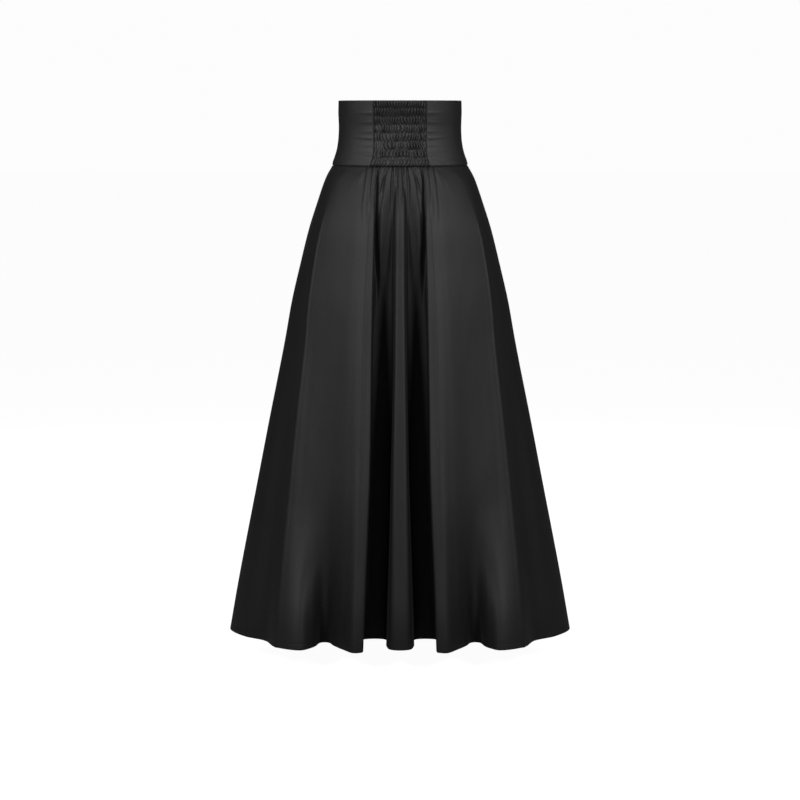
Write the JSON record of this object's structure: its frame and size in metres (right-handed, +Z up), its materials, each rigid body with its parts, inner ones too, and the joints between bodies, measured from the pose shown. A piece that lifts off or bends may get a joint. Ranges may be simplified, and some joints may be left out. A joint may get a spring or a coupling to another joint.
{
  "type": "maxi skirt",
  "caption": "Long flared skirt with a deep high waistband, a shirred middle panel and soft deep folds, filled out as worn.",
  "frame": {"origin": "the middle of the waist, at the narrowest ring of the waistband, where the wearer's waist holds the skirt", "axes": "+Z up out of the waist, +Y towards the hidden back, so the shown side faces -Y; +X to the right as seen from the shown side"},
  "size_m": [0.6872, 0.4585, 1.0595],
  "materials": {
    "skirt_cloth": "smooth black satin-weave cloth with a soft sheen",
    "waistband_cloth": "the same black cloth, doubled and firm",
    "shirred_cloth": "the same black cloth, shirred on elastic thread"
  },
  "bodies": {
    "root": {"waistband_shirred_panel": "shirred_cloth", "waistband_front_left": "waistband_cloth", "waistband_front_right": "waistband_cloth", "waistband_back": "waistband_cloth", "skirt_front": "skirt_cloth", "skirt_back": "skirt_cloth"}
  },
  "joints": []
}
